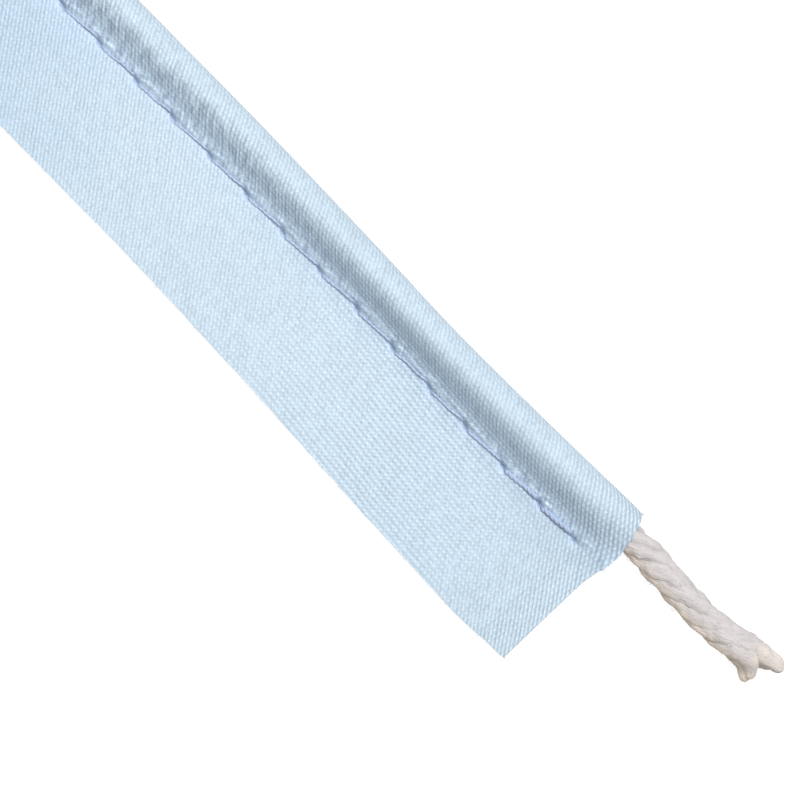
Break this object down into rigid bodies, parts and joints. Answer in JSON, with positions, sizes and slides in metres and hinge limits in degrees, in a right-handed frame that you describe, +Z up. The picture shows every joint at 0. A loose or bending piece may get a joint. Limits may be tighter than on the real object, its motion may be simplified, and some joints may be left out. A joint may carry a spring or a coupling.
{
  "type": "length of satin piping trim",
  "caption": "Straight cut length of satin piping: a folded satin strip sewn round a twisted cotton cord, with a flat flange and the cord's end free at one cut.",
  "frame": {"origin": "middle of the base of the whole trim, on the surface that it lies on", "axes": "+X along the trim towards the cord's free end, +Y across it from the raw edges to the folded edge over the cord, +Z up"},
  "size_m": [0.1262, 0.0172, 0.0037],
  "materials": {
    "satin": "pale blue satin weave with a soft directional sheen",
    "cotton_cord": "matte off-white twisted cotton",
    "sewing_thread": "lilac blue polyester sewing thread"
  },
  "bodies": {
    "root": {"satin_strip": "satin", "core_cord": "cotton_cord"}
  },
  "joints": []
}
